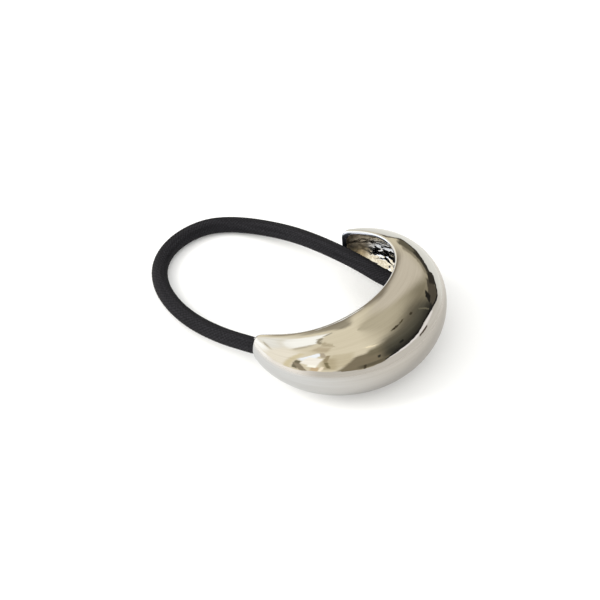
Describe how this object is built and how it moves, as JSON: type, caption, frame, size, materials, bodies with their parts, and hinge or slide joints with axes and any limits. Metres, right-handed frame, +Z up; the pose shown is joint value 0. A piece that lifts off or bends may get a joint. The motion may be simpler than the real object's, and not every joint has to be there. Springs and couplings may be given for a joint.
{
  "type": "ponytail cuff",
  "caption": "Hollow half-moon hair cuff of polished metal, open towards the hair, with a black covered elastic loop that passes through a staple inside its back.",
  "frame": {"origin": "on the table, under the middle of the cuff's box as it lies on its side, the elastic left out", "axes": "+X across the cuff from tip to tip, +Y from the bulge towards the tips and the elastic's loop, +Z up"},
  "size_m": [0.0586, 0.0881, 0.0263],
  "materials": {
    "polished_metal": "mirror polished outside, hammered inside",
    "covered_elastic": "black braided cover"
  },
  "bodies": {
    "root": {"cuff": "polished_metal", "elastic": "covered_elastic"}
  },
  "joints": []
}
